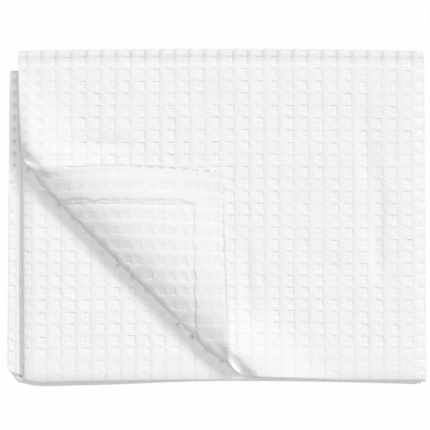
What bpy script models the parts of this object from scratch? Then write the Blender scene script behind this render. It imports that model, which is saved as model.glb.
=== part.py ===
"""A waffle-weave cotton bedspread, folded in four both ways, with the front left corner of its top sheet turned back.

Metres, +Z up, +X right and +Y to the back. The origin is on the surface under the middle of the folded pack.
"""

import math

import bmesh
import bpy
from mathutils import Vector

# The cloth: one panel with a hem all round, turned to the reverse side
CLOTH = 0.0016
HEM_WIDTH = 0.045
HEM_SLOPE = 0.0015
HEM_RISE = 0.0005

# The panel is first folded in four across its width, which makes a strip of four sheets.
# Each row is a sheet, in the order in which the cloth runs from its free left edge: where it starts and ends from
# side to side, the height of its middle in the strip, and how far its hems stand out at the front of the pack.
# A half turn joins each sheet to the next.
STRIP = 0.0108
SHEETS = (
    {"name": "top sheet", "start": -0.2719, "end": 0.2835, "height": 0.0095, "front": 0.0},
    {"name": "bottom sheet", "start": 0.2835, "end": -0.2648, "height": 0.0013, "front": 0.001},
    {"name": "second sheet", "start": -0.2648, "end": 0.2790, "height": 0.0069, "front": 0.0035},
    {"name": "third sheet", "start": 0.2790, "end": -0.2520, "height": 0.0039, "front": 0.002},
)

# The strip is then folded in four along its length, back and forth. Each row is a run of the strip, from the top of
# the pack down: where it starts and ends from front to back, how many strips high the plane that it turns on lies,
# and how far it is pushed to the right at its two ends.
RUNS = (
    {"name": "top run", "start": -0.2275, "end": 0.2190, "plane": 3, "start_push": 0.0015, "end_push": -0.0015},
    {"name": "second run", "start": 0.2190, "end": -0.2225, "plane": 3, "start_push": -0.0015, "end_push": 0.0010},
    {"name": "third run", "start": -0.2225, "end": 0.1920, "plane": 1, "start_push": -0.0178, "end_push": -0.0150},
    {"name": "lowest run", "start": 0.1920, "end": -0.2140, "plane": 1, "start_push": -0.0150, "end_push": -0.0170},
)

# Lines along and across the pack that every sheet and run shares, so that its uneven outline is followed
SIDE_LINES = (-0.253, -0.225, -0.130, 0.0, 0.130)
LENGTH_LINES = (-0.222, -0.217, -0.210, -0.060, 0.080)
SIDE_TURN_STEPS = 5
LENGTH_TURN_STEPS = 6
LEAST_SPACING = 0.0004

# The turned-back corner of the top sheet: a point on the line where it leaves the sheet below, the angle at which
# that line runs down to the right, the radius of the roll, the slope at which its arc ends in a gentler rise and the
# level length of that rise, the length over which the flap comes down again, and how high it then lies on the sheet.
# An even S-shaped slope takes more cloth than its level length: SLOPE_SPARE times its drop squared over that length.
# The gentler rise takes its steepest slope squared over ARCH_SHARE more, as a share of its length.
FLAP_POINT = Vector((-0.1154, -0.0679))
FLAP_ANGLE = math.radians(45.2)
ROLL_RADIUS = 0.010
CREST_TILT = math.radians(24)
CREST_LENGTH = 0.040
FLAP_SLOPE = 0.145
FLAP_REST = 0.0026
SLOPE_SPARE = 0.6
ARCH_SHARE = 6
ROLL_STEPS = 8
CREST_STEPS = 3
SLOPE_STEPS = 5
CUT_CLOSENESS = 0.00008

# How far the hem of the top sheet stands out near that corner, at distances from the corner
LEFT_EDGE = (
    {"along": 0.0, "out": 0.0},
    {"along": 0.07, "out": 0.0036},
    {"along": 0.13, "out": 0.0048},
    {"along": 0.20, "out": 0.0026},
    {"along": 0.25, "out": -0.0035},
    {"along": 0.33, "out": -0.0020},
    {"along": 0.40, "out": 0.0},
)
FRONT_EDGE = (
    {"along": 0.0, "out": -0.0082},
    {"along": 0.06, "out": -0.0112},
    {"along": 0.13, "out": -0.0101},
    {"along": 0.21, "out": -0.0072},
    {"along": 0.27, "out": -0.0050},
    {"along": 0.33, "out": -0.0018},
    {"along": 0.45, "out": 0.0017},
    {"along": 0.55, "out": -0.0009},
)
EDGE_FADE = 0.14

# At the two ends of the roll it is drawn in, and the top sheet bulges up beside it and dips down to it. Each row
# gives how far along the roll from its middle that end lies, how high the bulge is, and where its crest and its foot
# lie. Each bulge rises over BULGE_BACK, fades over BULGE_LENGTH, and the cloth is divided at BULGE_LINES along it.
BULGES = (
    {"name": "left end", "end": -0.217, "height": 0.011, "crest": -0.0075, "foot": 0.002},
    {"name": "front end", "end": 0.218, "height": 0.011, "crest": -0.0130, "foot": 0.001},
)
BULGE_BACK = 0.045
BULGE_LENGTH = 0.045
END_PULL = 0.004
BULGE_LINES = (-0.045, -0.025, -0.015, -0.0075, -0.003)
BULGE_STEPS = (0.0, 0.5, 1.0)

# Uneven outline of the pack, and how far it is moved to the back so that it lies evenly about the origin
HALF_WIDTH = 0.29
HALF_LENGTH = 0.23
BACK_BOW = 0.003
FRONT_BOW = 0.005
CENTRING = 0.00146

# Left of this line the front corner of the pack is drawn in, by so much for each square metre past the line
CORNER_X = -0.235
CORNER_PULL = 5.0
CORNER_START = -0.10
CORNER_LENGTH = 0.11

# The front edge of the pack sinks, by this share of its height at the end of this length
SINK_START = -0.210
SINK_LENGTH = 0.022
SINK_SHARE = 0.20
SINK_LIMIT = 1.1

# The two upper runs sink along the left edge of the pack, and the folds below the top run stand out at the front left
DROOP_LEVEL = 0.0211
DROOP_START = -0.238
DROOP_LENGTH = 0.034
DROOP_SHARE = 0.38
DROOP_END = 0.20
DROOP_FADE = 0.10
LEDGE_OUT = 0.0042
LEDGE_START = 0.02
LEDGE_LENGTH = 0.20
LEDGE_TOP = 0.0322
LEDGE_SOFT = 0.002

SHARP_ANGLE = math.radians(50)
WHITE_COTTON = (0.86, 0.86, 0.85, 1.0)
COTTON_ROUGHNESS = 0.9


def way_of(row):
    """1 where a sheet or run goes right or back, -1 where it goes left or to the front."""
    return 1 if row["end"] > row["start"] else -1


SHEET_RISES = [after["height"] - row["height"] for row, after in zip(SHEETS, SHEETS[1:])] + [0.0]
SHEET_TURNS = [math.pi * abs(rise) / 2 for rise in SHEET_RISES]
RUN_TURNS = [math.pi * STRIP / 2] * (len(RUNS) - 1) + [0.0]
TOP_SHEET_LENGTH = abs(SHEETS[0]["end"] - SHEETS[0]["start"])
TOP_RUN_LENGTH = abs(RUNS[0]["end"] - RUNS[0]["start"])
PACK_HEIGHT = len(RUNS) * STRIP
LOWEST = STRIP - SHEETS[0]["height"] - CLOTH / 2


def flat_length(rows, turns):
    """Length of cloth in a row of sheets or runs and the turns between them."""
    return sum(abs(row["end"] - row["start"]) for row in rows) + sum(turns)


FLAT_WIDTH = flat_length(SHEETS, SHEET_TURNS)
FLAT_LENGTH = flat_length(RUNS, RUN_TURNS)


def find_row(rows, turns, distance):
    """The row that a distance along the cloth falls on, the distance along it, and the angle turned past its end."""
    for index, (row, turn) in enumerate(zip(rows, turns)):
        length = abs(row["end"] - row["start"])
        if distance <= length or turn == 0.0:
            return index, distance, 0.0
        distance -= length
        if distance < turn:
            return index, length, math.pi * distance / turn
        distance -= turn


def fold_lines(rows, turns, shared, steps):
    """Distances along the cloth at which it is divided: at its edges, hems, shared lines and along its turns."""
    total = flat_length(rows, turns)
    lines = {0.0, HEM_WIDTH, HEM_WIDTH + HEM_SLOPE, total - HEM_WIDTH - HEM_SLOPE, total - HEM_WIDTH, total}
    passed = 0.0
    for row, turn in zip(rows, turns):
        low, high = sorted((row["start"], row["end"]))
        lines.update(passed + abs(line - row["start"]) for line in shared if low < line < high)
        passed += high - low
        if turn:
            lines.update(passed + turn * step / steps for step in range(steps + 1))
        passed += turn
    ordered = sorted(lines)
    return [ordered[0]] + [line for before, line in zip(ordered, ordered[1:]) if line - before > LEAST_SPACING]


def across(u, offset):
    """Side-to-side place and height in the strip of a point on the cloth, offset from its middle to its face."""
    index, along, angle = find_row(SHEETS, SHEET_TURNS, u)
    sheet = SHEETS[index]
    way = way_of(sheet)
    x = sheet["start"] + way * along
    if angle == 0.0:
        return x, sheet["height"] + way * offset
    rise = SHEET_RISES[index]
    radius = abs(rise) / 2 + offset
    return x + way * radius * math.sin(angle), sheet["height"] + rise / 2 + way * radius * math.cos(angle)


def lengthwise(v, depth):
    """Front-to-back place, height and sideways push of a point that lies this high in the strip."""
    index, along, angle = find_row(RUNS, RUN_TURNS, v)
    run = RUNS[index]
    way = way_of(run)
    plane = run["plane"] * STRIP
    if angle == 0.0:
        share = along / abs(run["end"] - run["start"])
        push = run["start_push"] + share * (run["end_push"] - run["start_push"])
        return run["start"] + way * along, plane + way * depth, push
    radius = depth if way > 0 else STRIP - depth
    middle = plane if way > 0 else plane - STRIP
    share = angle / math.pi
    push = run["end_push"] + share * (RUNS[index + 1]["start_push"] - run["end_push"])
    return run["end"] + way * radius * math.sin(angle), middle + radius * math.cos(angle), push


def read_table(table, along):
    """How far the hem stands out at a distance along it, between the rows of a table."""
    for before, after in zip(table, table[1:]):
        if along <= after["along"]:
            share = (along - before["along"]) / (after["along"] - before["along"])
            return before["out"] + share * (after["out"] - before["out"])
    return table[-1]["out"]


def front_of(u):
    """How far the hem stands out at the front of the pack, at a place across the cloth."""
    index, _, angle = find_row(SHEETS, SHEET_TURNS, u)
    after = SHEETS[min(index + 1, len(SHEETS) - 1)]
    return SHEETS[index]["front"] + angle / math.pi * (after["front"] - SHEETS[index]["front"])


# Directions from the line of the roll to the corner, and along it to the front
OUTWARD = Vector((-math.sin(FLAP_ANGLE), -math.cos(FLAP_ANGLE)))
ALONG = Vector((math.cos(FLAP_ANGLE), -math.sin(FLAP_ANGLE)))


def turn_back(place, level, offset):
    """Rolls a point of the top sheet back over the line of the flap. Gives its place and height."""
    past = (place - FLAP_POINT).dot(OUTWARD)
    if past <= 0.0:
        return place, level + offset
    foot = place - past * OUTWARD
    arc = math.pi - CREST_TILT
    if past < ROLL_RADIUS * arc:
        angle = past / ROLL_RADIUS
        radius = ROLL_RADIUS - offset
        return foot + radius * math.sin(angle) * OUTWARD, level + ROLL_RADIUS - radius * math.cos(angle)
    past -= ROLL_RADIUS * arc
    away = ROLL_RADIUS * math.sin(arc)
    height = ROLL_RADIUS * (1 - math.cos(arc))
    steep = math.tan(CREST_TILT)
    crest_spare = CREST_LENGTH * steep * steep / ARCH_SHARE
    if past < CREST_LENGTH + crest_spare:
        back = past * CREST_LENGTH / (CREST_LENGTH + crest_spare)
        tilt = -math.atan(steep * (1 - back / CREST_LENGTH))
        height += steep * (back - back * back / (2 * CREST_LENGTH))
    else:
        past -= CREST_LENGTH + crest_spare
        height += steep * CREST_LENGTH / 2
        drop = height - FLAP_REST
        spare = SLOPE_SPARE * drop * drop / FLAP_SLOPE
        share = min(past / (FLAP_SLOPE + spare), 1.0)
        back = CREST_LENGTH + max(share * FLAP_SLOPE, past - spare)
        tilt = math.atan(drop * 6 * share * (1 - share) / FLAP_SLOPE)
        height -= drop * smooth_step(share)
    moved = foot + (away - back + offset * math.sin(tilt)) * OUTWARD
    return moved, level + height - offset * math.cos(tilt)


def bulge(place):
    """Draws a place on the top sheet in at the ends of the roll. Gives the place and how far it stands up there."""
    past = (place - FLAP_POINT).dot(OUTWARD)
    along = (place - FLAP_POINT).dot(ALONG)
    rise = 0.0
    for row in BULGES:
        near = 1 - smooth_step((row["end"] - along) * math.copysign(1 / BULGE_LENGTH, row["end"]))
        if past < row["crest"]:
            share = smooth_step((past - row["crest"]) / BULGE_BACK + 1)
        else:
            share = 1 - smooth_step((past - row["crest"]) / (row["foot"] - row["crest"]))
        rise += row["height"] * near * share
        place = place - END_PULL * near * smooth_step(past / ROLL_RADIUS) * OUTWARD
    return place, rise


def smooth_step(share):
    share = min(max(share, 0.0), 1.0)
    return share * share * (3 - 2 * share)


def shape_outline(place):
    """Bows the back and front edges of the pack and pulls its front left corner in."""
    x, y = place
    bow = 1 - (x / HALF_WIDTH) ** 2
    share = y / HALF_LENGTH
    shift = (BACK_BOW * share if share > 0 else -FRONT_BOW * share) * bow
    pull = CORNER_PULL * max(CORNER_X - x, 0.0) ** 2 * smooth_step((CORNER_START - y) / CORNER_LENGTH)
    return Vector((x, y + shift + pull))


def sink_edges(place, height):
    """Lowers the front and left edges of the pack, its bottom staying flat."""
    share = min(max((DROOP_START - place.x) / DROOP_LENGTH, 0.0), SINK_LIMIT)
    lost = DROOP_SHARE * share * share * smooth_step((DROOP_END - place.y) / DROOP_FADE)
    height -= lost * min(max(height - DROOP_LEVEL, 0.0), PACK_HEIGHT - DROOP_LEVEL)
    share = min(max((SINK_START - place.y) / SINK_LENGTH, 0.0), SINK_LIMIT)
    return height - SINK_SHARE * share * share * min(height, PACK_HEIGHT)


def stand_out(place, height):
    """Moves the lower folds out at the front left. Gives the place's distance to the back."""
    low = 1 - smooth_step((height - LEDGE_TOP) / LEDGE_SOFT)
    front = smooth_step(-place.y / HALF_LENGTH)
    return place.y - LEDGE_OUT * low * front * smooth_step((LEDGE_START - place.x) / LEDGE_LENGTH)


def fold(u, v, offset):
    """Carries a point of the flat cloth, offset from its middle, to its place in the folded pack."""
    x, depth = across(u, offset)
    y, height, push = lengthwise(v, depth)
    hem_near = max(1 - min(v, FLAT_LENGTH - v) / EDGE_FADE, 0.0)
    place = Vector((x + push, y - front_of(u) * hem_near))
    if u < TOP_SHEET_LENGTH and v < TOP_RUN_LENGTH:
        place.x -= read_table(LEFT_EDGE, v) * max(1 - u / EDGE_FADE, 0.0)
        place.y -= read_table(FRONT_EDGE, u) * max(1 - v / EDGE_FADE, 0.0)
        place, height = turn_back(place, height - offset, offset)
        place, rise = bulge(place)
        height += rise
    place = shape_outline(place)
    place.y = stand_out(place, height)
    return Vector((place.x, place.y + CENTRING, sink_edges(place, height - LOWEST)))


def flat_cloth():
    """The panel laid flat, its face up: X along its width, Y along its length, with its hem on the reverse side."""
    across_lines = fold_lines(SHEETS, SHEET_TURNS, SIDE_LINES, SIDE_TURN_STEPS)
    length_lines = fold_lines(RUNS, RUN_TURNS, LENGTH_LINES, LENGTH_TURN_STEPS)
    columns = len(across_lines) - 1
    rows = len(length_lines) - 1
    bm = bmesh.new()
    bmesh.ops.create_grid(bm, x_segments=columns, y_segments=rows, size=0.5)
    for vert in bm.verts:
        column = round((vert.co.x + 0.5) * columns)
        row = round((vert.co.y + 0.5) * rows)
        vert.co = Vector((across_lines[column], length_lines[row], CLOTH / 2))
    made = bmesh.ops.extrude_face_region(bm, geom=bm.faces[:])
    for vert in (item for item in made["geom"] if isinstance(item, bmesh.types.BMVert)):
        edge = min(vert.co.x, FLAT_WIDTH - vert.co.x, vert.co.y, FLAT_LENGTH - vert.co.y)
        hem = HEM_RISE if edge < HEM_WIDTH + HEM_SLOPE / 2 else 0.0
        vert.co.z = -CLOTH / 2 - hem
    bmesh.ops.recalc_face_normals(bm, faces=bm.faces)
    return bm


def divide_flap(bm):
    """Divides the top sheet along the roll and the slope of the flap, and across the roll near its ends."""
    origin = Vector((SHEETS[0]["start"], RUNS[0]["start"]))
    roll_length = ROLL_RADIUS * (math.pi - CREST_TILT)
    lines = list(BULGE_LINES)
    lines += [roll_length * step / ROLL_STEPS for step in range(ROLL_STEPS + 1)]
    lines += [roll_length + CREST_LENGTH * (step + 1) / CREST_STEPS for step in range(CREST_STEPS)]
    lines += [roll_length + CREST_LENGTH + FLAP_SLOPE * (step + 1) / SLOPE_STEPS for step in range(SLOPE_STEPS)]
    cuts = [(line, OUTWARD) for line in lines]
    for row in BULGES:
        inward = math.copysign(BULGE_LENGTH, -row["end"])
        cuts += [(row["end"] + inward * share, ALONG) for share in BULGE_STEPS]
    for distance, way in cuts:
        point = FLAP_POINT + distance * way - origin
        faces = [
            face for face in bm.faces
            if all(v.co.x < TOP_SHEET_LENGTH and v.co.y < TOP_RUN_LENGTH for v in face.verts)
        ]
        edges = {edge for face in faces for edge in face.edges}
        verts = {vert for face in faces for vert in face.verts}
        bmesh.ops.bisect_plane(
            bm, geom=[*verts, *edges, *faces], dist=CUT_CLOSENESS,
            plane_co=(point.x, point.y, 0.0), plane_no=(way.x, way.y, 0.0),
        )


def split_faces(bm):
    """Cuts each face into triangles, four-sided ones all the same way, so that sheets on each other stay apart."""
    for face in [face for face in bm.faces if len(face.verts) == 4]:
        a, b, c, d = face.verts
        along = a.co - c.co
        pair = (a, c) if along.x * along.y > 0 else (b, d)
        bmesh.utils.face_split(face, *pair)
    bmesh.ops.triangulate(bm, faces=[face for face in bm.faces if len(face.verts) > 3])


def cotton():
    material = bpy.data.materials.new("white_cotton")
    material.use_nodes = True
    shader = material.node_tree.nodes["Principled BSDF"]
    shader.inputs["Base Color"].default_value = WHITE_COTTON
    shader.inputs["Roughness"].default_value = COTTON_ROUGHNESS
    shader.inputs["Metallic"].default_value = 0.0
    return material


def bedspread():
    bm = flat_cloth()
    divide_flap(bm)
    for vert in bm.verts:
        vert.co = fold(vert.co.x, vert.co.y, vert.co.z)
    split_faces(bm)
    mesh = bpy.data.meshes.new("bedspread")
    bm.to_mesh(mesh)
    bm.free()
    mesh.shade_smooth()
    mesh.set_sharp_from_angle(angle=SHARP_ANGLE)
    mesh.materials.append(cotton())
    piece = bpy.data.objects.new("bedspread", mesh)
    bpy.context.scene.collection.objects.link(piece)
    return piece


for old in list(bpy.data.objects):
    bpy.data.objects.remove(old, do_unlink=True)
bedspread()
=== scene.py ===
import math
from bisect import bisect_right

import bmesh
import bpy
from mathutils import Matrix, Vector, noise


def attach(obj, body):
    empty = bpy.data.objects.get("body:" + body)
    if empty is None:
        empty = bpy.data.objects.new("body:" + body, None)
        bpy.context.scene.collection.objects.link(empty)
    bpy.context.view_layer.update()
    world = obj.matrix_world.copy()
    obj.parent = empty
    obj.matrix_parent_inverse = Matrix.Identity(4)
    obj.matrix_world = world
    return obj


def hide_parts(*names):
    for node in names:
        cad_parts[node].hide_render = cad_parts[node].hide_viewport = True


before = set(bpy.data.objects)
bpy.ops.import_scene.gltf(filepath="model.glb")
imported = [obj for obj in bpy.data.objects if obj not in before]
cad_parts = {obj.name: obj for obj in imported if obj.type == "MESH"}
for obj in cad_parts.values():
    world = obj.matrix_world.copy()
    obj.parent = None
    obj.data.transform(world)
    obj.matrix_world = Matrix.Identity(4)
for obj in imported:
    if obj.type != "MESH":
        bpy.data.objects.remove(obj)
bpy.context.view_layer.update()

# The cloth, in metres
CLOTH = 0.0016

# Sheets of the cloth folded in four across its width, from its free left edge: where each starts and ends from side
# to side, the height of its middle in the strip, and how far its hems stand out at the front
STRIP = 0.0108
SHEETS = (
    {"name": "top sheet", "start": -0.2719, "end": 0.2835, "height": 0.0095, "front": 0.0},
    {"name": "bottom sheet", "start": 0.2835, "end": -0.2648, "height": 0.0013, "front": 0.001},
    {"name": "second sheet", "start": -0.2648, "end": 0.2790, "height": 0.0069, "front": 0.0035},
    {"name": "third sheet", "start": 0.2790, "end": -0.2520, "height": 0.0039, "front": 0.002},
)

# Runs of the strip folded in four along its length, from the top of the pack down
RUNS = (
    {"name": "top run", "start": -0.2275, "end": 0.2190, "plane": 3, "start_push": 0.0015, "end_push": -0.0015},
    {"name": "second run", "start": 0.2190, "end": -0.2225, "plane": 3, "start_push": -0.0015, "end_push": 0.0010},
    {"name": "third run", "start": -0.2225, "end": 0.1920, "plane": 1, "start_push": -0.0178, "end_push": -0.0150},
    {"name": "lowest run", "start": 0.1920, "end": -0.2140, "plane": 1, "start_push": -0.0150, "end_push": -0.0170},
)

# The turned-back corner of the top sheet
FLAP_POINT = Vector((-0.1154, -0.0679))
FLAP_ANGLE = math.radians(45.2)
ROLL_RADIUS = 0.010
CREST_TILT = math.radians(24)
CREST_LENGTH = 0.040
FLAP_SLOPE = 0.145
FLAP_REST = 0.0026
SLOPE_SPARE = 0.6
ARCH_SHARE = 6
LEFT_EDGE = (
    {"along": 0.0, "out": 0.0},
    {"along": 0.07, "out": 0.0036},
    {"along": 0.13, "out": 0.0048},
    {"along": 0.20, "out": 0.0026},
    {"along": 0.25, "out": -0.0035},
    {"along": 0.33, "out": -0.0020},
    {"along": 0.40, "out": 0.0},
)
FRONT_EDGE = (
    {"along": 0.0, "out": -0.0082},
    {"along": 0.06, "out": -0.0112},
    {"along": 0.13, "out": -0.0101},
    {"along": 0.21, "out": -0.0072},
    {"along": 0.27, "out": -0.0050},
    {"along": 0.33, "out": -0.0018},
    {"along": 0.45, "out": 0.0017},
    {"along": 0.55, "out": -0.0009},
)
EDGE_FADE = 0.14

# At the two ends of the roll it is drawn in, by END_PULL, and the top sheet bulges up beside it and dips down to
# it. Each row gives how far along the roll from its middle that end lies, how high the bulge is, and where its
# crest and its foot lie. Each bulge rises over BULGE_BACK and fades over BULGE_LENGTH.
BULGES = (
    {"name": "left end", "end": -0.195, "height": 0.011, "crest": -0.0090, "foot": 0.0012},
    {"name": "front end", "end": 0.192, "height": 0.011, "crest": -0.0130, "foot": 0.0006},
)
BULGE_BACK = 0.080
BULGE_LENGTH = 0.038
END_PULL = 0.005

# Outline of the pack, its drawn-in front corner and its sunk front edge, and how far it is moved to the back
HALF_WIDTH = 0.29
HALF_LENGTH = 0.23
BACK_BOW = 0.003
FRONT_BOW = 0.005
CENTRING = 0.00146
CORNER_X = -0.235
CORNER_PULL = 5.0
CORNER_START = -0.10
CORNER_LENGTH = 0.11
SINK_START = -0.219
SINK_LENGTH = 0.013
SINK_SHARE = 0.15
SINK_LIMIT = 1.1

# The two upper runs sink along the left edge of the pack
DROOP_LEVEL = 0.0211
DROOP_START = -0.255
DROOP_LENGTH = 0.016
DROOP_SHARE = 0.30
DROOP_END = 0.20
DROOP_FADE = 0.10

# The lower runs are raised where they show at the left: left of SIDE_START, in front of SIDE_END and below SIDE_TOP
SIDE_START = -0.266
SIDE_LENGTH = 0.008
SIDE_RISE = 0.006
SIDE_END = 0.02
SIDE_FADE = 0.04
SIDE_TOP = 0.025

# The folds below the top run stand out at the front left
LEDGE_OUT = 0.0042
LEDGE_START = 0.02
LEDGE_LENGTH = 0.20
LEDGE_TOP = 0.0322
LEDGE_SOFT = 0.002

# Soft creases of the top sheet: where each starts and ends, its half width and its depth. Each bends by CREASE_BEND
# of its half width, over about CREASE_SIZE, and fades over CREASE_ENDS of its length at both ends.
CREASES = (
    {"name": "right", "start": (0.196, 0.180), "end": (0.240, -0.130), "width": 0.024, "depth": 0.0023},
    {"name": "second right", "start": (0.232, 0.060), "end": (0.212, -0.150), "width": 0.014, "depth": 0.0012},
    {"name": "middle", "start": (0.040, -0.020), "end": (0.050, -0.175), "width": 0.014, "depth": 0.0018},
    {"name": "upper left", "start": (-0.245, 0.100), "end": (-0.110, 0.102), "width": 0.014, "depth": 0.0015},
)
CREASE_BEND = 0.5
CREASE_SIZE = 0.08
CREASE_ENDS = 0.25
CREASE_SEED = 0.3

# The top sheet is raised by RAISED, and by up to UNEVEN more in swells of about UNEVEN_SIZE. Its swells and creases
# fade out over LEVEL_FADE beside the roll and the turned edges.
RAISED = 0.001
UNEVEN = 0.0012
UNEVEN_SIZE = 0.055
UNEVEN_SEED = 21.0
LEVEL_FADE = 0.02

# The weave. A cell is a hollow with a ridge after it each way. The places are shares of a cell at which the mesh is
# divided, and the depths how deep the hollow is there: its walls, its floor and the ridge. Cells are counted along
# the outer side of the turns at the ends of the runs.
CELLS = (108, 108)
OUTER_RADIUS = 0.0103
ACROSS_PLACES = (0.0, 0.05, 0.12, 0.42, 0.47, 0.50, 0.54, 0.77, 1.0)
ACROSS_DEPTHS = (0.0, 0.45, 0.62, 0.90, 1.0, 0.0, 0.0, 0.0, 0.0)
LENGTH_PLACES = (0.0, 0.06, 0.14, 0.60, 0.65, 0.69, 0.73, 0.86, 1.0)
LENGTH_DEPTHS = (0.0, 0.45, 0.62, 0.90, 1.0, 0.0, 0.0, 0.0, 0.0)
REVERSE_PLACES = (0.0, 0.17, 0.33, 0.37, 0.41, 0.46, 0.88, 0.96, 1.0)
REVERSE_DEPTHS = (0.0, 0.0, 0.0, 0.0, 1.0, 0.90, 0.62, 0.45, 0.0)
RIDGE_START = ACROSS_PLACES[5]

# Depth of a full hollow. Each hollow has a share of it, from HOLLOW_LEAST up to HOLLOW_SPREAD more.
HOLLOW = 0.0011
HOLLOW_LEAST = 0.80
HOLLOW_SPREAD = 0.35
HOLLOW_SEED_FACE = 3.5
HOLLOW_SEED_REVERSE = 7.5

# The hollows are deeper in the strip beside the roll, most of all at BESIDE_MIDDLE from its line
BESIDE_MIDDLE = 0.008
BESIDE_DEEPER = 0.9

# The turned edges at the back and at the right are drawn in by DENT between their ribs. The shares are for the
# places of a cell, and they fade over DENT_FADE of a cell before the turn.
BACK_DENTS = (0.2, 0.2, 0.2, 0.6, 1.0, 1.0, 1.0, 0.0, 0.2)
RIGHT_DENTS = (0.3, 0.0, 0.0, 0.0, 0.6, 1.0, 1.0, 0.5, 0.3)
DENT = 0.0012
DENT_FADE = 0.35

# The ridge stands out by CROWN, and the rest by CROWN_LEAST of it. A groove runs beside each row of hollows, its
# depth uneven over GROOVE_SIZE cells.
CROWN = 0.0003
CROWN_LEAST = 0.4
GROOVE = 0.0005
GROOVE_HALF_WIDTH = 0.01
GROOVE_SIZE = 2.0
GROOVE_SEED = 11.0

# The hems in the mesh: their width in cells, what share of a hollow they keep on each side, and how far they stand
# out on the reverse. At its very edge, over EDGE_CELLS, the cloth thins to EDGE_THIN of itself.
HEM_SOLID_CELLS = (2.43, 2.63)
HEM_FACE_SHARE = 0.45
HEM_REVERSE_SHARE = 0.55
HEM_RISE = 0.0004
EDGE_CELLS = 0.05
EDGE_THIN = 0.35
SHARP_ANGLE = math.radians(38)

# The rows of the weave waver by some of a cell, over about so many cells, and less within WAVER_FADE cells of an
# edge. The seeds are for the waver across and along the cloth.
WAVERS = (
    {"name": "small waver", "cells": 0.030, "size": 1.3, "seeds": (1.0, 4.0)},
    {"name": "wide waver", "cells": 0.07, "size": 6.0, "seeds": (2.0, 5.0)},
)
WAVER_FADE = 2.0

# Painted shade on the face, as shares: dark marks painted where shade falls into the hollows. Beside the roll, in
# the lower strip at the left and on the left hem it is painted at one corner of each hollow, where both depths are
# over
# SHADE_MARK_FROM. In the strip the depth across counts from STRIP_FROM on, and the shade is painted behind
# STRIP_FRONT alone.
PAINTED_SHADE_TONE = 0.16
SHADE_MARK_FROM = 0.78
ROLL_PAINTED_SHADE = 1.7
STRIP_PAINTED_SHADE = 0.55
STRIP_FROM = 0.6
STRIP_FRONT = 0.03
HEM_PAINTED_SHADE = 0.25
HEM_SHADE_CELLS = 2.0

# Painted shade along the turn at the back: darker all over and more at the dents, from BACK_FADE of a cell before
# the turn
BACK_PAINTED_SHADE = 0.10
BACK_DENT_SHADE = 0.12
BACK_FADE = 0.8

# Painted shadow along the edges of the turned-back corner, over FLAP_EDGE of a cell, between these cells across and
# along
FLAP_EDGE_SHADOW = 0.45
FLAP_EDGE = (0.08, 0.02)
FLAP_ACROSS_CELLS = (1.0, 6.5)
FLAP_LENGTH_CELLS = (0.5, 8.0)

# Yarns in a cell each way, and how far they stand out
YARNS = (7.0, 5.5)
YARN_RISE = 0.0006

# Ribs in a cell each way, which show in the hollows, and how far they stand out
RIBS = (6.7, 5.5)
RIB_RISE = 0.00018

# Depth of the drawn hollows on the stretches where the mesh has none
PIT_DEPTH = 0.0012

# The hems drawn on the reverse: their width in cells, how far their line wanders and how often, over how many cells
# their step runs, and its height
HEM_CELLS = (2.17, 2.65)
HEM_WANDER = 0.20
WANDER_SCALE = 1.15
HEM_BLEND = 0.09
HEM_STEP = 0.0011

# White cotton
FACE_TONE = 0.91
# The reverse is painted greyer than the face: painted shade that dims the turned-back corner, which tilts towards
# the light
REVERSE_SHADED_TONE = 0.872
COTTON_ROUGHNESS = 0.92
COTTON_SHINE = 0.15
COTTON_SHEEN = 0.05

# How finely the mesh is divided. At the front left the cells are divided one by one, with their walls. So are the
# second sheet's, from some cells after its turn, and the last ones each way. A hidden stretch is up to HIDDEN_CELLS
# long. A side turn has TURN_STEPS steps, and lines there are over LEAST_STEP of a cell apart.
CORNER_CELLS = (27, 26)
SECOND_SHEET_START = 2
SECOND_SHEET_SHOWN = 15
LAST_CELLS = (1, 2)
HIDDEN_CELLS = 3
TURN_STEPS = 6
LEAST_STEP = 0.015

# Where the cloth shows from above. Past the line of the flap: the reverse from REVERSE_FROM on, the face up to
# FACE_TO and the second sheet from SECOND_FROM on. The flap covers the face before COVERED_FROM, left and in front
# of COVERED_CORNER. The second run shows behind SECOND_RUN_BACK, and the third left of STRIP_RIGHT.
REVERSE_FROM = -0.012
FACE_TO = 0.02
SECOND_FROM = -0.02
COVERED_FROM = -0.035
COVERED_CORNER = (-0.005, 0.045)
SECOND_RUN_BACK = 0.21
STRIP_RIGHT = -0.262

# In cells: added to a place so that one on a line counts to the cell after it, the length past which an edge runs
# along the way that is divided, and how close a place is to be to a line to lie on it
NUDGE = 1e-4
LEAST_RUN = 0.005
ON_LINE = 0.002

# The floor, the camera and the light. At FRAMED_LEVEL above the floor the picture is PICTURE_PIXELS wide, each of
# them PIXEL long. A sun's side is where its light comes from, and its breadth is in degrees.
FLOOR_HALF = 6.0
FLOOR_DROP = 0.0005
FLOOR_GLOW = 0.99
SENSOR = 36.0
CAMERA_PLACE = (-0.0021, 0.0036, 5.0)
FRAMED_LEVEL = 0.043
PICTURE_PIXELS = 430
PIXEL = 0.00138
ROOM_LIGHT = 0.23
SUNS = (
    {"name": "overhead", "side": (0.0, 0.0, 1.0), "breadth": 30, "strength": 1.31},
    {"name": "key", "side": (0.60, 1.00, 1.0), "breadth": 20, "strength": 1.54},
)


def way_of(row):
    """1 where a sheet or run goes right or back, -1 where it goes left or to the front."""
    return 1 if row["end"] > row["start"] else -1


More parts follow.
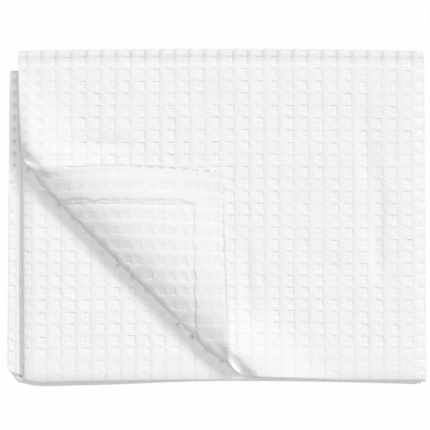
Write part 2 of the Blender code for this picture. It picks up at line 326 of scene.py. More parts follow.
SHEET_RISES = [after["height"] - row["height"] for row, after in zip(SHEETS, SHEETS[1:])] + [0.0]
SHEET_TURNS = [math.pi * abs(rise) / 2 for rise in SHEET_RISES]
RUN_TURNS = [math.pi * STRIP / 2] * (len(RUNS) - 1) + [0.0]
OUTER_TURNS = [math.pi * OUTER_RADIUS] * (len(RUNS) - 1) + [0.0]
TOP_SHEET_LENGTH = abs(SHEETS[0]["end"] - SHEETS[0]["start"])
TOP_RUN_LENGTH = abs(RUNS[0]["end"] - RUNS[0]["start"])
PACK_HEIGHT = len(RUNS) * STRIP
LOWEST = STRIP - SHEETS[0]["height"] - CLOTH / 2


def flat_length(rows, turns):
    """Length of cloth in a row of sheets or runs and the turns between them."""
    return sum(abs(row["end"] - row["start"]) for row in rows) + sum(turns)


FLAT_WIDTH = flat_length(SHEETS, SHEET_TURNS)
FLAT_LENGTH = flat_length(RUNS, RUN_TURNS)
WEAVE_LENGTH = flat_length(RUNS, OUTER_TURNS)


def find_row(rows, turns, distance):
    """The row that a distance along the cloth falls on, how far along it, and the angle turned past its end."""
    for index, (row, turn) in enumerate(zip(rows, turns)):
        length = abs(row["end"] - row["start"])
        if distance <= length or turn == 0.0:
            return index, distance, 0.0
        distance -= length
        if distance < turn:
            return index, length, math.pi * distance / turn
        distance -= turn


def smooth_step(share):
    """Goes softly from 0 to 1 as a share does, and stays there."""
    share = min(max(share, 0.0), 1.0)
    return share * share * (3 - 2 * share)


def across(u, offset):
    """Side-to-side place and height in the strip of a point on the cloth, offset from its middle to its face."""
    index, along, angle = find_row(SHEETS, SHEET_TURNS, u)
    sheet = SHEETS[index]
    way = way_of(sheet)
    x = sheet["start"] + way * along
    if angle == 0.0:
        return x, sheet["height"] + way * offset
    rise = SHEET_RISES[index]
    radius = abs(rise) / 2 + offset
    return x + way * radius * math.sin(angle), sheet["height"] + rise / 2 + way * radius * math.cos(angle)


def lengthwise(v, depth):
    """Front-to-back place, height and sideways push of a point that lies this high in the strip."""
    index, along, angle = find_row(RUNS, RUN_TURNS, v)
    run = RUNS[index]
    way = way_of(run)
    plane = run["plane"] * STRIP
    if angle == 0.0:
        share = along / abs(run["end"] - run["start"])
        push = run["start_push"] + share * (run["end_push"] - run["start_push"])
        return run["start"] + way * along, plane + way * depth, push
    radius = depth if way > 0 else STRIP - depth
    middle = plane if way > 0 else plane - STRIP
    share = angle / math.pi
    push = run["end_push"] + share * (RUNS[index + 1]["start_push"] - run["end_push"])
    return run["end"] + way * radius * math.sin(angle), middle + radius * math.cos(angle), push


def read_table(table, along):
    """The value at a distance along, between the rows of a table."""
    for before, after in zip(table, table[1:]):
        if along <= after["along"]:
            share = (along - before["along"]) / (after["along"] - before["along"])
            return before["out"] + share * (after["out"] - before["out"])
    return table[-1]["out"]


def front_of(u):
    """How far the hem stands out at the front of the pack, at a place across the cloth."""
    index, _, angle = find_row(SHEETS, SHEET_TURNS, u)
    after = SHEETS[min(index + 1, len(SHEETS) - 1)]
    return SHEETS[index]["front"] + angle / math.pi * (after["front"] - SHEETS[index]["front"])


OUTWARD = Vector((-math.sin(FLAP_ANGLE), -math.cos(FLAP_ANGLE)))
ALONG = Vector((math.cos(FLAP_ANGLE), -math.sin(FLAP_ANGLE)))


def turn_back(place, level, offset):
    """Rolls a point of the top sheet back over the line of the flap. Gives its place and height."""
    past = (place - FLAP_POINT).dot(OUTWARD)
    if past <= 0.0:
        return place, level + offset
    foot = place - past * OUTWARD
    arc = math.pi - CREST_TILT
    if past < ROLL_RADIUS * arc:
        angle = past / ROLL_RADIUS
        radius = ROLL_RADIUS - offset
        return foot + radius * math.sin(angle) * OUTWARD, level + ROLL_RADIUS - radius * math.cos(angle)
    past -= ROLL_RADIUS * arc
    away = ROLL_RADIUS * math.sin(arc)
    height = ROLL_RADIUS * (1 - math.cos(arc))
    steep = math.tan(CREST_TILT)
    crest_spare = CREST_LENGTH * steep * steep / ARCH_SHARE
    if past < CREST_LENGTH + crest_spare:
        back = past * CREST_LENGTH / (CREST_LENGTH + crest_spare)
        tilt = -math.atan(steep * (1 - back / CREST_LENGTH))
        height += steep * (back - back * back / (2 * CREST_LENGTH))
    else:
        past -= CREST_LENGTH + crest_spare
        height += steep * CREST_LENGTH / 2
        drop = height - FLAP_REST
        spare = SLOPE_SPARE * drop * drop / FLAP_SLOPE
        share = min(past / (FLAP_SLOPE + spare), 1.0)
        back = CREST_LENGTH + max(share * FLAP_SLOPE, past - spare)
        # The slope of smooth_step is 6 * share * (1 - share)
        tilt = math.atan(drop * 6 * share * (1 - share) / FLAP_SLOPE)
        height -= drop * smooth_step(share)
    moved = foot + (away - back + offset * math.sin(tilt)) * OUTWARD
    return moved, level + height - offset * math.cos(tilt)


def bulge(place):
    """Draws a place on the top sheet in at the ends of the roll. Gives the place and how far it stands up there."""
    past = (place - FLAP_POINT).dot(OUTWARD)
    along = (place - FLAP_POINT).dot(ALONG)
    rise = 0.0
    for row in BULGES:
        near = 1 - smooth_step((row["end"] - along) * math.copysign(1 / BULGE_LENGTH, row["end"]))
        if past < row["crest"]:
            share = smooth_step((past - row["crest"]) / BULGE_BACK + 1)
        else:
            share = 1 - smooth_step((past - row["crest"]) / (row["foot"] - row["crest"]))
        rise += row["height"] * near * share
        place = place - END_PULL * near * smooth_step(past / ROLL_RADIUS) * OUTWARD
    return place, rise


def shape_outline(place):
    """Bows the back and front edges of the pack and pulls its front left corner in."""
    x, y = place
    bow = 1 - (x / HALF_WIDTH) ** 2
    share = y / HALF_LENGTH
    shift = (BACK_BOW * share if share > 0 else -FRONT_BOW * share) * bow
    pull = CORNER_PULL * max(CORNER_X - x, 0.0) ** 2 * smooth_step((CORNER_START - y) / CORNER_LENGTH)
    return Vector((x, y + shift + pull))


def sink_edges(place, height):
    """Lowers the front and left edges of the pack and raises its lower runs at the left. Its bottom stays flat."""
    share = min(max((DROOP_START - place.x) / DROOP_LENGTH, 0.0), SINK_LIMIT)
    lost = DROOP_SHARE * share * share * smooth_step((DROOP_END - place.y) / DROOP_FADE)
    height -= lost * min(max(height - DROOP_LEVEL, 0.0), PACK_HEIGHT - DROOP_LEVEL)
    side = smooth_step((SIDE_START - place.x) / SIDE_LENGTH) * smooth_step((SIDE_END - place.y) / SIDE_FADE + 1)
    below = min(height / DROOP_LEVEL, 1.0) * (1 - smooth_step((height - SIDE_TOP) / SIDE_LENGTH))
    height += SIDE_RISE * side * below
    share = min(max((SINK_START - place.y) / SINK_LENGTH, 0.0), SINK_LIMIT)
    return height - SINK_SHARE * share * share * min(height, PACK_HEIGHT)


def unevenness(place):
    """How far the top sheet lies above its even level, with its soft creases."""
    swell = noise.noise(Vector((place.x / UNEVEN_SIZE, place.y / UNEVEN_SIZE, UNEVEN_SEED)))
    rise = RAISED + UNEVEN * (0.5 + 0.5 * swell)
    for row in CREASES:
        start = Vector(row["start"])
        run = Vector(row["end"]) - start
        along = (place - start).dot(run) / run.length_squared
        bend = CREASE_BEND * row["width"] * noise.noise(Vector((place.x, place.y, CREASE_SEED)) / CREASE_SIZE)
        side = abs((place - start).cross(run.normalized()) + bend) / row["width"]
        ends = smooth_step(along / CREASE_ENDS) * smooth_step((1 - along) / CREASE_ENDS)
        rise -= row["depth"] * ends * (1 - smooth_step(side))
    return rise


def stand_out(place, height):
    """Moves the lower folds out at the front left."""
    low = 1 - smooth_step((height - LEDGE_TOP) / LEDGE_SOFT)
    front = smooth_step(-place.y / HALF_LENGTH)
    return place.y - LEDGE_OUT * low * front * smooth_step((LEDGE_START - place.x) / LEDGE_LENGTH)


def fold(u, v, offset):
    """Carries a point of the flat cloth, offset from its middle, to its place in the folded pack."""
    x, depth = across(u, offset)
    y, height, push = lengthwise(v, depth)
    hem_near = max(1 - min(v, FLAT_LENGTH - v) / EDGE_FADE, 0.0)
    place = Vector((x + push, y - front_of(u) * hem_near))
    if u < TOP_SHEET_LENGTH and v < TOP_RUN_LENGTH:
        place.x -= read_table(LEFT_EDGE, max(v, 0.0)) * max(1 - u / EDGE_FADE, 0.0)
        place.y -= read_table(FRONT_EDGE, max(u, 0.0)) * max(1 - v / EDGE_FADE, 0.0)
        place, height = turn_back(place, height - offset, offset)
        place, rise = bulge(place)
        height += rise
        from_roll = -(place - FLAP_POINT).dot(OUTWARD)
        from_turns = min(TOP_SHEET_LENGTH - u, TOP_RUN_LENGTH - v)
        height += unevenness(place) * smooth_step(from_roll / LEVEL_FADE) * smooth_step(from_turns / LEVEL_FADE)
    place = shape_outline(place)
    place.y = stand_out(place, height)
    return Vector((place.x, place.y + CENTRING, sink_edges(place, height - LOWEST)))


# The mesh of the cloth is laid out flat, in cells of the weave, and then carried to its folds


def width_of(cells):
    """Distance across the cloth, in metres, of a distance in cells."""
    return cells * FLAT_WIDTH / CELLS[0]


def length_of(cells):
    """Distance along the cloth, in metres, of a distance in cells. The turns count by their outer side."""
    distance = cells * WEAVE_LENGTH / CELLS[1]
    passed = 0.0
    for run, turn, outer in zip(RUNS, RUN_TURNS, OUTER_TURNS):
        length = abs(run["end"] - run["start"])
        if distance <= length or turn == 0.0:
            return passed + distance
        distance -= length
        passed += length
        if distance < outer:
            return passed + turn * distance / outer
        distance -= outer
        passed += turn


def turn_spans(rows, turns, cell):
    """Where the turns start and end, in cells."""
    spans = []
    passed = 0.0
    for row, turn in zip(rows, turns):
        passed += abs(row["end"] - row["start"])
        if turn:
            spans.append((passed / cell, (passed + turn) / cell))
        passed += turn
    return spans


ACROSS_TURNS = turn_spans(SHEETS, SHEET_TURNS, FLAT_WIDTH / CELLS[0])
LENGTH_TURNS = turn_spans(RUNS, OUTER_TURNS, WEAVE_LENGTH / CELLS[1])


def interval(start, end, places):
    """A stretch of cells: where it starts and ends, in cells, and where it is divided when it shows."""
    return {"start": start, "end": end, "places": places}


def weave_places(start, cells, shares):
    """Where the walls, floors and ridges of some cells lie, from a whole cell on."""
    places = [start + cell + share for cell in range(cells) for share in shares[:-1]]
    return places + [float(start + cells)]


def plan_lines(total, turns, shown, shares):
    """Intervals along one way of the cloth: one cell long where it shows, longer where hidden, shorter in turns."""
    plan = []
    cell = 0
    while cell < total:
        if any(start < cell + 1 and end > cell for start, end in turns):
            places = weave_places(cell, 1, shares)
            plan += [interval(a, c, [a, b, c]) for a, b, c in zip(places[::2], places[1::2], places[2::2])]
            cell += 1
        elif any(low <= cell < high for low, high in shown):
            plan.append(interval(cell, cell + 1, weave_places(cell, 1, shares)))
            cell += 1
        else:
            stops = [low for low, _ in shown if low > cell] + [total]
            stops += [math.floor(start) for start, _ in turns if math.floor(start) > cell]
            many = min([HIDDEN_CELLS] + [stop - cell for stop in stops])
            plan.append(interval(cell, cell + many, weave_places(cell, many, shares)))
            cell += many
    return plan


def column_plan():
    """Intervals across the cloth. The cells at its side turns are divided finely for all of their length."""
    second_sheet = math.floor(ACROSS_TURNS[1][0]) + SECOND_SHEET_START
    shown = (
        (0, CORNER_CELLS[0]),
        (second_sheet, second_sheet + SECOND_SHEET_SHOWN),
        (CELLS[0] - LAST_CELLS[0], CELLS[0]),
    )
    plan = plan_lines(CELLS[0], ACROSS_TURNS, shown, ACROSS_PLACES)
    fine = []
    for part in plan:
        at_turn = len(part["places"]) == 3
        if not at_turn:
            fine.append(part)
            continue
        stops = set(part["places"])
        for start, end in ACROSS_TURNS:
            steps = [start + (end - start) * step / TURN_STEPS for step in range(TURN_STEPS + 1)]
            stops.update(stop for stop in steps if part["start"] < stop < part["end"])
        ordered = sorted(stops)
        kept = [ordered[0]]
        kept += [b for a, b in zip(ordered, ordered[1:]) if b - a > LEAST_STEP or b == ordered[-1]]
        fine += [interval(a, b, [a, b]) for a, b in zip(kept, kept[1:])]
    return fine


def row_plan():
    """Intervals along the cloth."""
    shown = ((0, CORNER_CELLS[1]), (CELLS[1] - LAST_CELLS[1], CELLS[1]))
    return plan_lines(CELLS[1], LENGTH_TURNS, shown, LENGTH_PLACES)


COLUMNS = column_plan()
ROWS = row_plan()


def find_interval(plan, starts, place):
    """The interval of a plan that a place lies in."""
    return plan[min(max(bisect_right(starts, place) - 1, 0), len(plan) - 1)]


def detail_of(face_side, a, b):
    """How finely the cloth is divided: 2 where it shows from above, 1 at the other folds, 0 where it is hidden.

    Sheets and runs are counted from 0, as in their tables.
    """
    u = width_of(a)
    v = length_of(b)
    sheet, _, side_angle = find_row(SHEETS, SHEET_TURNS, u)
    run, _, end_angle = find_row(RUNS, RUN_TURNS, v)
    spot = fold(u, v, CLOTH / 2)
    if sheet == 0 and side_angle == 0.0 and run == 0 and end_angle == 0.0:
        flat = Vector((SHEETS[0]["start"] + u, RUNS[0]["start"] + v))
        past = (flat - FLAP_POINT).dot(OUTWARD)
        if not face_side:
            return 2 if past > REVERSE_FROM else 0
        covered = past < COVERED_FROM and flat.x < COVERED_CORNER[0] and flat.y < COVERED_CORNER[1]
        return 2 if past < FACE_TO and not covered else 0
    if not face_side:
        return 0
    if run == 0 and end_angle == 0.0 and (sheet == 2 or (sheet == 1 and side_angle > 0.0)):
        past = (spot.xy - FLAP_POINT).dot(OUTWARD)
        if past > SECOND_FROM:
            return 2
        return 1 if side_angle > 0.0 else 0
    if sheet == 0 and run == 0:
        return 2
    if sheet == 0 and run == 1 and spot.y > SECOND_RUN_BACK:
        return 2
    if sheet == 0 and run == 2 and spot.x < STRIP_RIGHT and side_angle == 0.0:
        return 2
    if side_angle > 0.0 and sheet < 2:
        return 1
    outer = 0 if run % 2 == 0 else 1
    if end_angle > 0.0 and sheet == outer:
        return 1
    return 0


def cell_of(place):
    """The cell that a place lies in, one on a line counting to the cell after it."""
    return math.floor(place + NUDGE)


def cut_lines(bm, axis, plan):
    """Divides the faces that show, along one way of the cloth."""
    starts = [part["start"] for part in plan]
    wanted = {}
    for face in bm.faces:
        centre = face.calc_center_median()
        detail = detail_of(centre.z > 0.0, centre.x, centre.y) if abs(centre.z) > 0.5 else 0
        if detail == 0:
            continue
        part = find_interval(plan, starts, centre[axis])
        pieces = len(part["places"]) - 1
        cuts = (pieces if detail == 2 else pieces // 2) - 1
        if cuts < 1:
            continue
        for edge in face.edges:
            one, two = edge.verts
            if abs(one.co[axis] - two.co[axis]) > LEAST_RUN:
                wanted[edge] = max(wanted.get(edge, 0), cuts)
    for cuts in sorted(set(wanted.values()), reverse=True):
        edges = [edge for edge, count in wanted.items() if count == cuts]
        bmesh.ops.subdivide_edges(bm, edges=edges, cuts=cuts, use_grid_fill=True)


def place_lines(bm, axis, plan, reverse_places=None):
    """Moves the evenly spaced lines to the walls and ridges of the weave, and on the reverse to its own."""
    starts = [part["start"] for part in plan]
    for vert in bm.verts:
        part = find_interval(plan, starts, vert.co[axis] + NUDGE)
        span = part["end"] - part["start"]
        pieces = len(part["places"]) - 1
        index = round((vert.co[axis] - part["start"]) / span * pieces)
        vert.co[axis] = part["places"][min(max(index, 0), pieces)]
        if reverse_places and vert.co.z < 0.0:
            cell = cell_of(vert.co[axis])
            share = vert.co[axis] - cell
            nearest = min(range(len(LENGTH_PLACES) - 1), key=lambda at: abs(LENGTH_PLACES[at] - share))
            if cell < plan[-1]["end"] and abs(LENGTH_PLACES[nearest] - share) < ON_LINE:
                vert.co[axis] = cell + reverse_places[nearest]


def flat_cloth():
    """The cloth laid flat, in cells: its face at 1 and its reverse at -1."""
    bm = bmesh.new()
    bmesh.ops.create_grid(bm, x_segments=len(COLUMNS), y_segments=len(ROWS), size=0.5)
    column_stops = [part["start"] for part in COLUMNS] + [COLUMNS[-1]["end"]]
    row_stops = [part["start"] for part in ROWS] + [ROWS[-1]["end"]]
    for vert in bm.verts:
        column = round((vert.co.x + 0.5) * len(COLUMNS))
        row = round((vert.co.y + 0.5) * len(ROWS))
        vert.co = Vector((column_stops[column], row_stops[row], 1.0))
    made = bmesh.ops.extrude_face_region(bm, geom=bm.faces[:])
    for item in made["geom"]:
        if isinstance(item, bmesh.types.BMVert):
            item.co.z = -1.0
    cut_lines(bm, 0, COLUMNS)
    cut_lines(bm, 1, ROWS)
    place_lines(bm, 0, COLUMNS)
    place_lines(bm, 1, ROWS, REVERSE_PLACES)
    bmesh.ops.triangulate(bm, faces=[face for face in bm.faces if len(face.verts) > 4])
    bmesh.ops.recalc_face_normals(bm, faces=bm.faces)
    return bm


# How deep, dented and open the weave is at a place on the cloth, in cells


def waver(a, b, seed, size):
    """Smooth chance between -1 and 1 at a place on the cloth, over this many cells."""
    return noise.noise(Vector((a / size, b / size, seed)))


def depth_at(places, depths, share):
    """Depth at a share of a cell, between the places of the weave."""
    for low, high, before, after in zip(places, places[1:], depths, depths[1:]):
        if share <= high:
            return before + (after - before) * (share - low) / (high - low)
    return depths[-1]


def hollow_at(face_side, a, b):
    """How deep the hollow is at a place on the cloth, from 0 on the ridges to about 1."""
    column = cell_of(a)
    row = cell_of(b)
    if face_side:
        along = depth_at(LENGTH_PLACES, LENGTH_DEPTHS, b - row)
    else:
        along = depth_at(REVERSE_PLACES, REVERSE_DEPTHS, b - row)
    deep = depth_at(ACROSS_PLACES, ACROSS_DEPTHS, a - column) * along
    seed = HOLLOW_SEED_FACE if face_side else HOLLOW_SEED_REVERSE
    chance = noise.cell(Vector((column + 0.5, row + 0.5, seed)))
    return deep * (HOLLOW_LEAST + HOLLOW_SPREAD * chance)


def hem_at(a, b):
    """1 on the hem, 0 on the rest of the cloth."""
    from_side = min(a, CELLS[0] - a)
    from_end = min(b, CELLS[1] - b)
    return 1.0 if from_side < HEM_SOLID_CELLS[0] or from_end < HEM_SOLID_CELLS[1] else 0.0


def dent_at(a, b):
    """How far the turned edges that show are drawn in at the ribs of the weave, from 0 to 1."""
    back = depth_at(ACROSS_PLACES, BACK_DENTS, a - cell_of(a))
    back *= smooth_step((b - LENGTH_TURNS[0][0]) / DENT_FADE + 1)
    right = depth_at(LENGTH_PLACES, RIGHT_DENTS, b - cell_of(b))
    right *= smooth_step((a - ACROSS_TURNS[0][0]) / DENT_FADE + 1)
    return max(back if b < LENGTH_TURNS[0][1] else 0.0, right if a < ACROSS_TURNS[0][1] else 0.0)


def beside_roll(a, b):
    """1 in the middle of the shaded strip beside the roll, 0 past it."""
    spot = fold(width_of(a), length_of(b), 0.0)
    past = (spot.xy - FLAP_POINT).dot(OUTWARD)
    return max(1 - abs(past / BESIDE_MIDDLE - 1), 0.0)


def painted_shade_at(a, b):
    """How much painted shade the face gets at a place, from 0 to 1."""
    depth_across = depth_at(ACROSS_PLACES, ACROSS_DEPTHS, a - cell_of(a))
    depth_along = depth_at(LENGTH_PLACES, LENGTH_DEPTHS, b - cell_of(b))
    back_wall = smooth_step((depth_along - SHADE_MARK_FROM) / (1 - SHADE_MARK_FROM))
    corner = back_wall * smooth_step((depth_across - SHADE_MARK_FROM) / (1 - SHADE_MARK_FROM))
    u = width_of(a)
    v = length_of(b)
    most = min(ROLL_PAINTED_SHADE * beside_roll(a, b), 1.0)
    if u < TOP_SHEET_LENGTH and find_row(RUNS, RUN_TURNS, v)[0] == 2:
        most = STRIP_PAINTED_SHADE * smooth_step((fold(u, v, 0.0).y - STRIP_FRONT) / STRIP_FRONT)
        corner = back_wall * smooth_step((depth_across - STRIP_FROM) / (1 - STRIP_FROM))
    elif a < HEM_SHADE_CELLS and v < TOP_RUN_LENGTH:
        most = max(most, HEM_PAINTED_SHADE)
    back = smooth_step((b - LENGTH_TURNS[0][0]) / BACK_FADE + 1) if b < LENGTH_TURNS[0][1] else 0.0
    return max(corner * most, back * (BACK_PAINTED_SHADE + BACK_DENT_SHADE * dent_at(a, b) ** 2))


def flap_edge_shadow_at(a, b):
    """How much painted shadow the edge of the turned-back corner gets at a place on the reverse, from 0 to 1."""
    painted_shade = 0.0
    if a < FLAP_EDGE[0] and FLAP_LENGTH_CELLS[0] < b < FLAP_LENGTH_CELLS[1]:
        painted_shade = depth_at(REVERSE_PLACES, REVERSE_DEPTHS, b - cell_of(b))
    if b < FLAP_EDGE[1] and FLAP_ACROSS_CELLS[0] < a < FLAP_ACROSS_CELLS[1]:
        painted_shade = max(painted_shade, depth_at(ACROSS_PLACES, ACROSS_DEPTHS, a - cell_of(a)))
    return FLAP_EDGE_SHADOW * painted_shade * painted_shade


def surface_offset(face_side, a, b, shows):
    """Distance of the cloth's surface from its middle, and the share of it that is hollow."""
    out = CLOTH / 2
    deep = hollow_at(face_side, a, b) if shows else 0.0
    hem = hem_at(a, b)
    deep *= 1 - hem * (1 - (HEM_FACE_SHARE if face_side else HEM_REVERSE_SHARE))
    share = a - cell_of(a)
    crown = math.sin(math.pi * min(max((share - RIDGE_START) / (1 - RIDGE_START), 0.0), 1.0))
    out += CROWN * (CROWN_LEAST + (1 - CROWN_LEAST) * crown) - HOLLOW * deep
    if shows and abs(share - RIDGE_START) < GROOVE_HALF_WIDTH:
        out -= GROOVE * (0.5 + 0.5 * waver(a, b, GROOVE_SEED, GROOVE_SIZE))
    if face_side and shows:
        out -= DENT * dent_at(a, b) + HOLLOW * BESIDE_DEEPER * deep * beside_roll(a, b)
    if not face_side:
        out += HEM_RISE * hem
    edge = min(a, CELLS[0] - a, b, CELLS[1] - b)
    out *= EDGE_THIN + (1 - EDGE_THIN) * smooth_step(edge / EDGE_CELLS)
    return out, deep


def metres_of(a, b):
    """Distances across and along the cloth, in metres, of a place in the weave, whose rows waver."""
    inside = min(min(a, CELLS[0] - a, b, CELLS[1] - b) / WAVER_FADE, 1.0)
    bends = [sum(row["cells"] * waver(a, b, row["seeds"][way], row["size"]) for row in WAVERS) for way in (0, 1)]
    return width_of(a + bends[0] * inside), length_of(b + bends[1] * inside)


def bedspread():
    """The folded cloth, with its weave raised where it shows."""
    bm = flat_cloth()
    weave = bm.loops.layers.uv.new("weave")
    for face in bm.faces:
        for loop in face.loops:
            loop[weave].uv = loop.vert.co.xy
    hollow = bm.verts.layers.float.new("hollow")
    reverse = bm.verts.layers.float.new("reverse")
    painted_shade = bm.verts.layers.float.new("painted_shade")
    raised = bm.verts.layers.float.new("raised")
    for vert in bm.verts:
        a, b, side = vert.co
        face_side = side > 0.0
        shows = detail_of(face_side, a, b) > 0
        out, deep = surface_offset(face_side, a, b, shows)
        vert[hollow] = deep
        vert[reverse] = 0.0 if face_side else 1.0
        if shows:
            vert[raised] = 1.0
            # Painted shade on the face, and painted shadow along the edges of the turned-back corner on the reverse
            vert[painted_shade] = painted_shade_at(a, b) if face_side else flap_edge_shadow_at(a, b)
        u, v = metres_of(a, b)
        vert.co = fold(u, v, out if face_side else -out)
    mesh = bpy.data.meshes.new("bedspread_cloth")
    bm.to_mesh(mesh)
    bm.free()
    mesh.shade_smooth()
    mesh.set_sharp_from_angle(angle=SHARP_ANGLE)
    mesh.materials.append(waffle_cotton())
    piece = bpy.data.objects.new("bedspread_cloth", mesh)
    bpy.context.scene.collection.objects.link(piece)
    return piece


def attribute(nodes, name):
    """The value of one of the cloth's attributes."""
    reader = nodes.new("ShaderNodeAttribute")
    reader.attribute_name = name
    return reader.outputs["Fac"]


def join(nodes, links, operation, one, two):
    """A value made from two others."""
    made = nodes.new("ShaderNodeMath")
    made.operation = operation
    links.new(one, made.inputs[0])
    links.new(two, made.inputs[1])
    return made.outputs["Value"]


def scaled(nodes, links, value, share):
    """A value times a number."""
    times = nodes.new("ShaderNodeMath")
    times.operation = "MULTIPLY"
    links.new(value, times.inputs[0])
    times.inputs[1].default_value = share
    return times.outputs["Value"]


def waves(nodes, links, value, many):
    """Waves along a value, so many for each cell."""
    wave = nodes.new("ShaderNodeMath")
    wave.operation = "SINE"
    links.new(scaled(nodes, links, value, many * 2 * math.pi), wave.inputs[0])
    return wave.outputs["Value"]


def above_zero(nodes, links, value):
    """A value, or zero where it is less."""
    most = nodes.new("ShaderNodeMath")
    most.operation = "MAXIMUM"
    links.new(value, most.inputs[0])
    most.inputs[1].default_value = 0.0
    return most.outputs["Value"]


def yarn_height(nodes, links, weave, ways):
    """Height of the yarns: a fine fuzz, with ribs in the hollows that run lengthwise on the face."""
    yarns = nodes.new("ShaderNodeMapping")
    yarns.inputs["Scale"].default_value = (*YARNS, 1.0)
    links.new(weave, yarns.inputs["Vector"])
    fuzz = nodes.new("ShaderNodeTexNoise")
    fuzz.inputs["Scale"].default_value = 1.0
    fuzz.inputs["Detail"].default_value = 1.0
    links.new(yarns.outputs["Vector"], fuzz.inputs["Vector"])
    ribs = nodes.new("ShaderNodeMix")
    links.new(attribute(nodes, "reverse"), ribs.inputs["Factor"])
    links.new(waves(nodes, links, ways["X"], RIBS[0]), ribs.inputs["A"])
    links.new(waves(nodes, links, ways["Y"], RIBS[1]), ribs.inputs["B"])
    shown_ribs = join(nodes, links, "MULTIPLY", ribs.outputs["Result"], attribute(nodes, "hollow"))
    uneven = scaled(nodes, links, fuzz.outputs["Fac"], YARN_RISE)
    return join(nodes, links, "ADD", uneven, scaled(nodes, links, shown_ribs, RIB_RISE))


def pit_height(nodes, links, ways):
    """Height of the drawn hollows, on the stretches where the mesh has none."""
    columns = above_zero(nodes, links, waves(nodes, links, ways["X"], 1))
    rows = above_zero(nodes, links, waves(nodes, links, ways["Y"], 1))
    pits = scaled(nodes, links, join(nodes, links, "MULTIPLY", columns, rows), -PIT_DEPTH)
    in_mesh = join(nodes, links, "MULTIPLY", pits, attribute(nodes, "raised"))
    return join(nodes, links, "SUBTRACT", pits, in_mesh)


def hem_height(nodes, links, weave, ways):
    """Height of the hems on the reverse, their line wandering a little."""
    wander = nodes.new("ShaderNodeTexNoise")
    wander.inputs["Scale"].default_value = WANDER_SCALE
    wander.inputs["Detail"].default_value = 0.0
    links.new(weave, wander.inputs["Vector"])
    moved_by = scaled(nodes, links, wander.outputs["Fac"], HEM_WANDER * 2)
    hems = []
    for way, width in zip("XY", HEM_CELLS):
        edge = nodes.new("ShaderNodeMapRange")
        edge.inputs["From Min"].default_value = width + HEM_WANDER - HEM_BLEND
        edge.inputs["From Max"].default_value = width + HEM_WANDER + HEM_BLEND
        edge.inputs["To Min"].default_value = 1.0
        edge.inputs["To Max"].default_value = 0.0
        links.new(join(nodes, links, "ADD", ways[way], moved_by), edge.inputs["Value"])
        hems.append(edge.outputs["Result"])
    either = join(nodes, links, "MAXIMUM", *hems)
    return scaled(nodes, links, join(nodes, links, "MULTIPLY", either, attribute(nodes, "reverse")), HEM_STEP)


def grey(tone):
    """An even grey."""
    return (tone, tone, tone, 1.0)


def cotton_colour(nodes, links):
    """White on the face, greyer on the reverse as painted shade, and dark where shade is painted."""
    tint = nodes.new("ShaderNodeMix")
    tint.data_type = "RGBA"
    tint.inputs["A"].default_value = grey(FACE_TONE)
    tint.inputs["B"].default_value = grey(REVERSE_SHADED_TONE)
    links.new(attribute(nodes, "reverse"), tint.inputs["Factor"])
    shaded = nodes.new("ShaderNodeMix")
    shaded.data_type = "RGBA"
    links.new(tint.outputs["Result"], shaded.inputs["A"])
    # Painted shade and shadow: the colour goes towards a dark grey
    shaded.inputs["B"].default_value = grey(PAINTED_SHADE_TONE)
    links.new(attribute(nodes, "painted_shade"), shaded.inputs["Factor"])
    return shaded.outputs["Result"]


def waffle_cotton():
    """Matt white waffle cotton, with its yarns, its ribs and the step of its hems."""
    material = bpy.data.materials.new("waffle_cotton")
    material.use_nodes = True
    nodes = material.node_tree.nodes
    links = material.node_tree.links
    shader = nodes["Principled BSDF"]
    shader.inputs["Roughness"].default_value = COTTON_ROUGHNESS
    shader.inputs["Specular IOR Level"].default_value = COTTON_SHINE
    shader.inputs["Sheen Weight"].default_value = COTTON_SHEEN
    weave = nodes.new("ShaderNodeUVMap")
    weave.uv_map = "weave"
    apart = nodes.new("ShaderNodeSeparateXYZ")
    links.new(weave.outputs["UV"], apart.inputs["Vector"])
    height = yarn_height(nodes, links, weave.outputs["UV"], apart.outputs)
    height = join(nodes, links, "ADD", height, pit_height(nodes, links, apart.outputs))
    height = join(nodes, links, "ADD", height, hem_height(nodes, links, weave.outputs["UV"], apart.outputs))
    bump = nodes.new("ShaderNodeBump")
    bump.inputs["Strength"].default_value = 1.0
    bump.inputs["Distance"].default_value = 1.0
    links.new(height, bump.inputs["Height"])
    links.new(bump.outputs["Normal"], shader.inputs["Normal"])
    links.new(cotton_colour(nodes, links), shader.inputs["Base Color"])
    return material


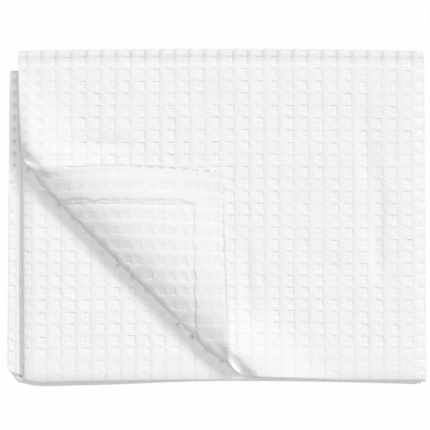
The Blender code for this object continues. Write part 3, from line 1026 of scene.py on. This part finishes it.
def floor():
    """A plain white floor."""
    bm = bmesh.new()
    bmesh.ops.create_grid(bm, x_segments=1, y_segments=1, size=FLOOR_HALF)
    mesh = bpy.data.meshes.new("floor")
    bm.to_mesh(mesh)
    bm.free()
    material = bpy.data.materials.new("white_floor")
    material.use_nodes = True
    shader = material.node_tree.nodes["Principled BSDF"]
    shader.inputs["Base Color"].default_value = grey(0.0)
    shader.inputs["Roughness"].default_value = 1.0
    shader.inputs["Specular IOR Level"].default_value = 0.0
    shader.inputs["Emission Color"].default_value = grey(1.0)
    shader.inputs["Emission Strength"].default_value = FLOOR_GLOW
    mesh.materials.append(material)
    piece = bpy.data.objects.new("floor", mesh)
    piece.location.z = -FLOOR_DROP
    bpy.context.scene.collection.objects.link(piece)
    return piece


def soft_sun(name, side, breadth, strength):
    """A broad, far light that comes from a side of the pack."""
    light = bpy.data.lights.new(name, "SUN")
    light.angle = breadth
    light.energy = strength
    lamp = bpy.data.objects.new(name, light)
    lamp.location = side
    lamp.rotation_euler = (-Vector(side)).to_track_quat("-Z", "Y").to_euler()
    bpy.context.scene.collection.objects.link(lamp)


def white_room(strength):
    """Even white light from all around."""
    world = bpy.data.worlds.new("white_room")
    world.use_nodes = True
    background = world.node_tree.nodes["Background"]
    background.inputs["Color"].default_value = grey(1.0)
    background.inputs["Strength"].default_value = strength
    bpy.context.scene.world = world


def photo_camera():
    """A camera straight above the pack, framed as the photo is."""
    data = bpy.data.cameras.new("camera")
    data.sensor_width = SENSOR
    data.lens = SENSOR * (CAMERA_PLACE[2] - FRAMED_LEVEL) / (PICTURE_PIXELS * PIXEL)
    camera = bpy.data.objects.new("camera", data)
    camera.location = CAMERA_PLACE
    bpy.context.scene.collection.objects.link(camera)
    bpy.context.scene.camera = camera


cloth = bedspread()
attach(cloth, "root")
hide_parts("bedspread")
floor()

white_room(ROOM_LIGHT)
for sun in SUNS:
    soft_sun(sun["name"], sun["side"], math.radians(sun["breadth"]), sun["strength"])
photo_camera()
bpy.context.scene.view_settings.view_transform = "Standard"
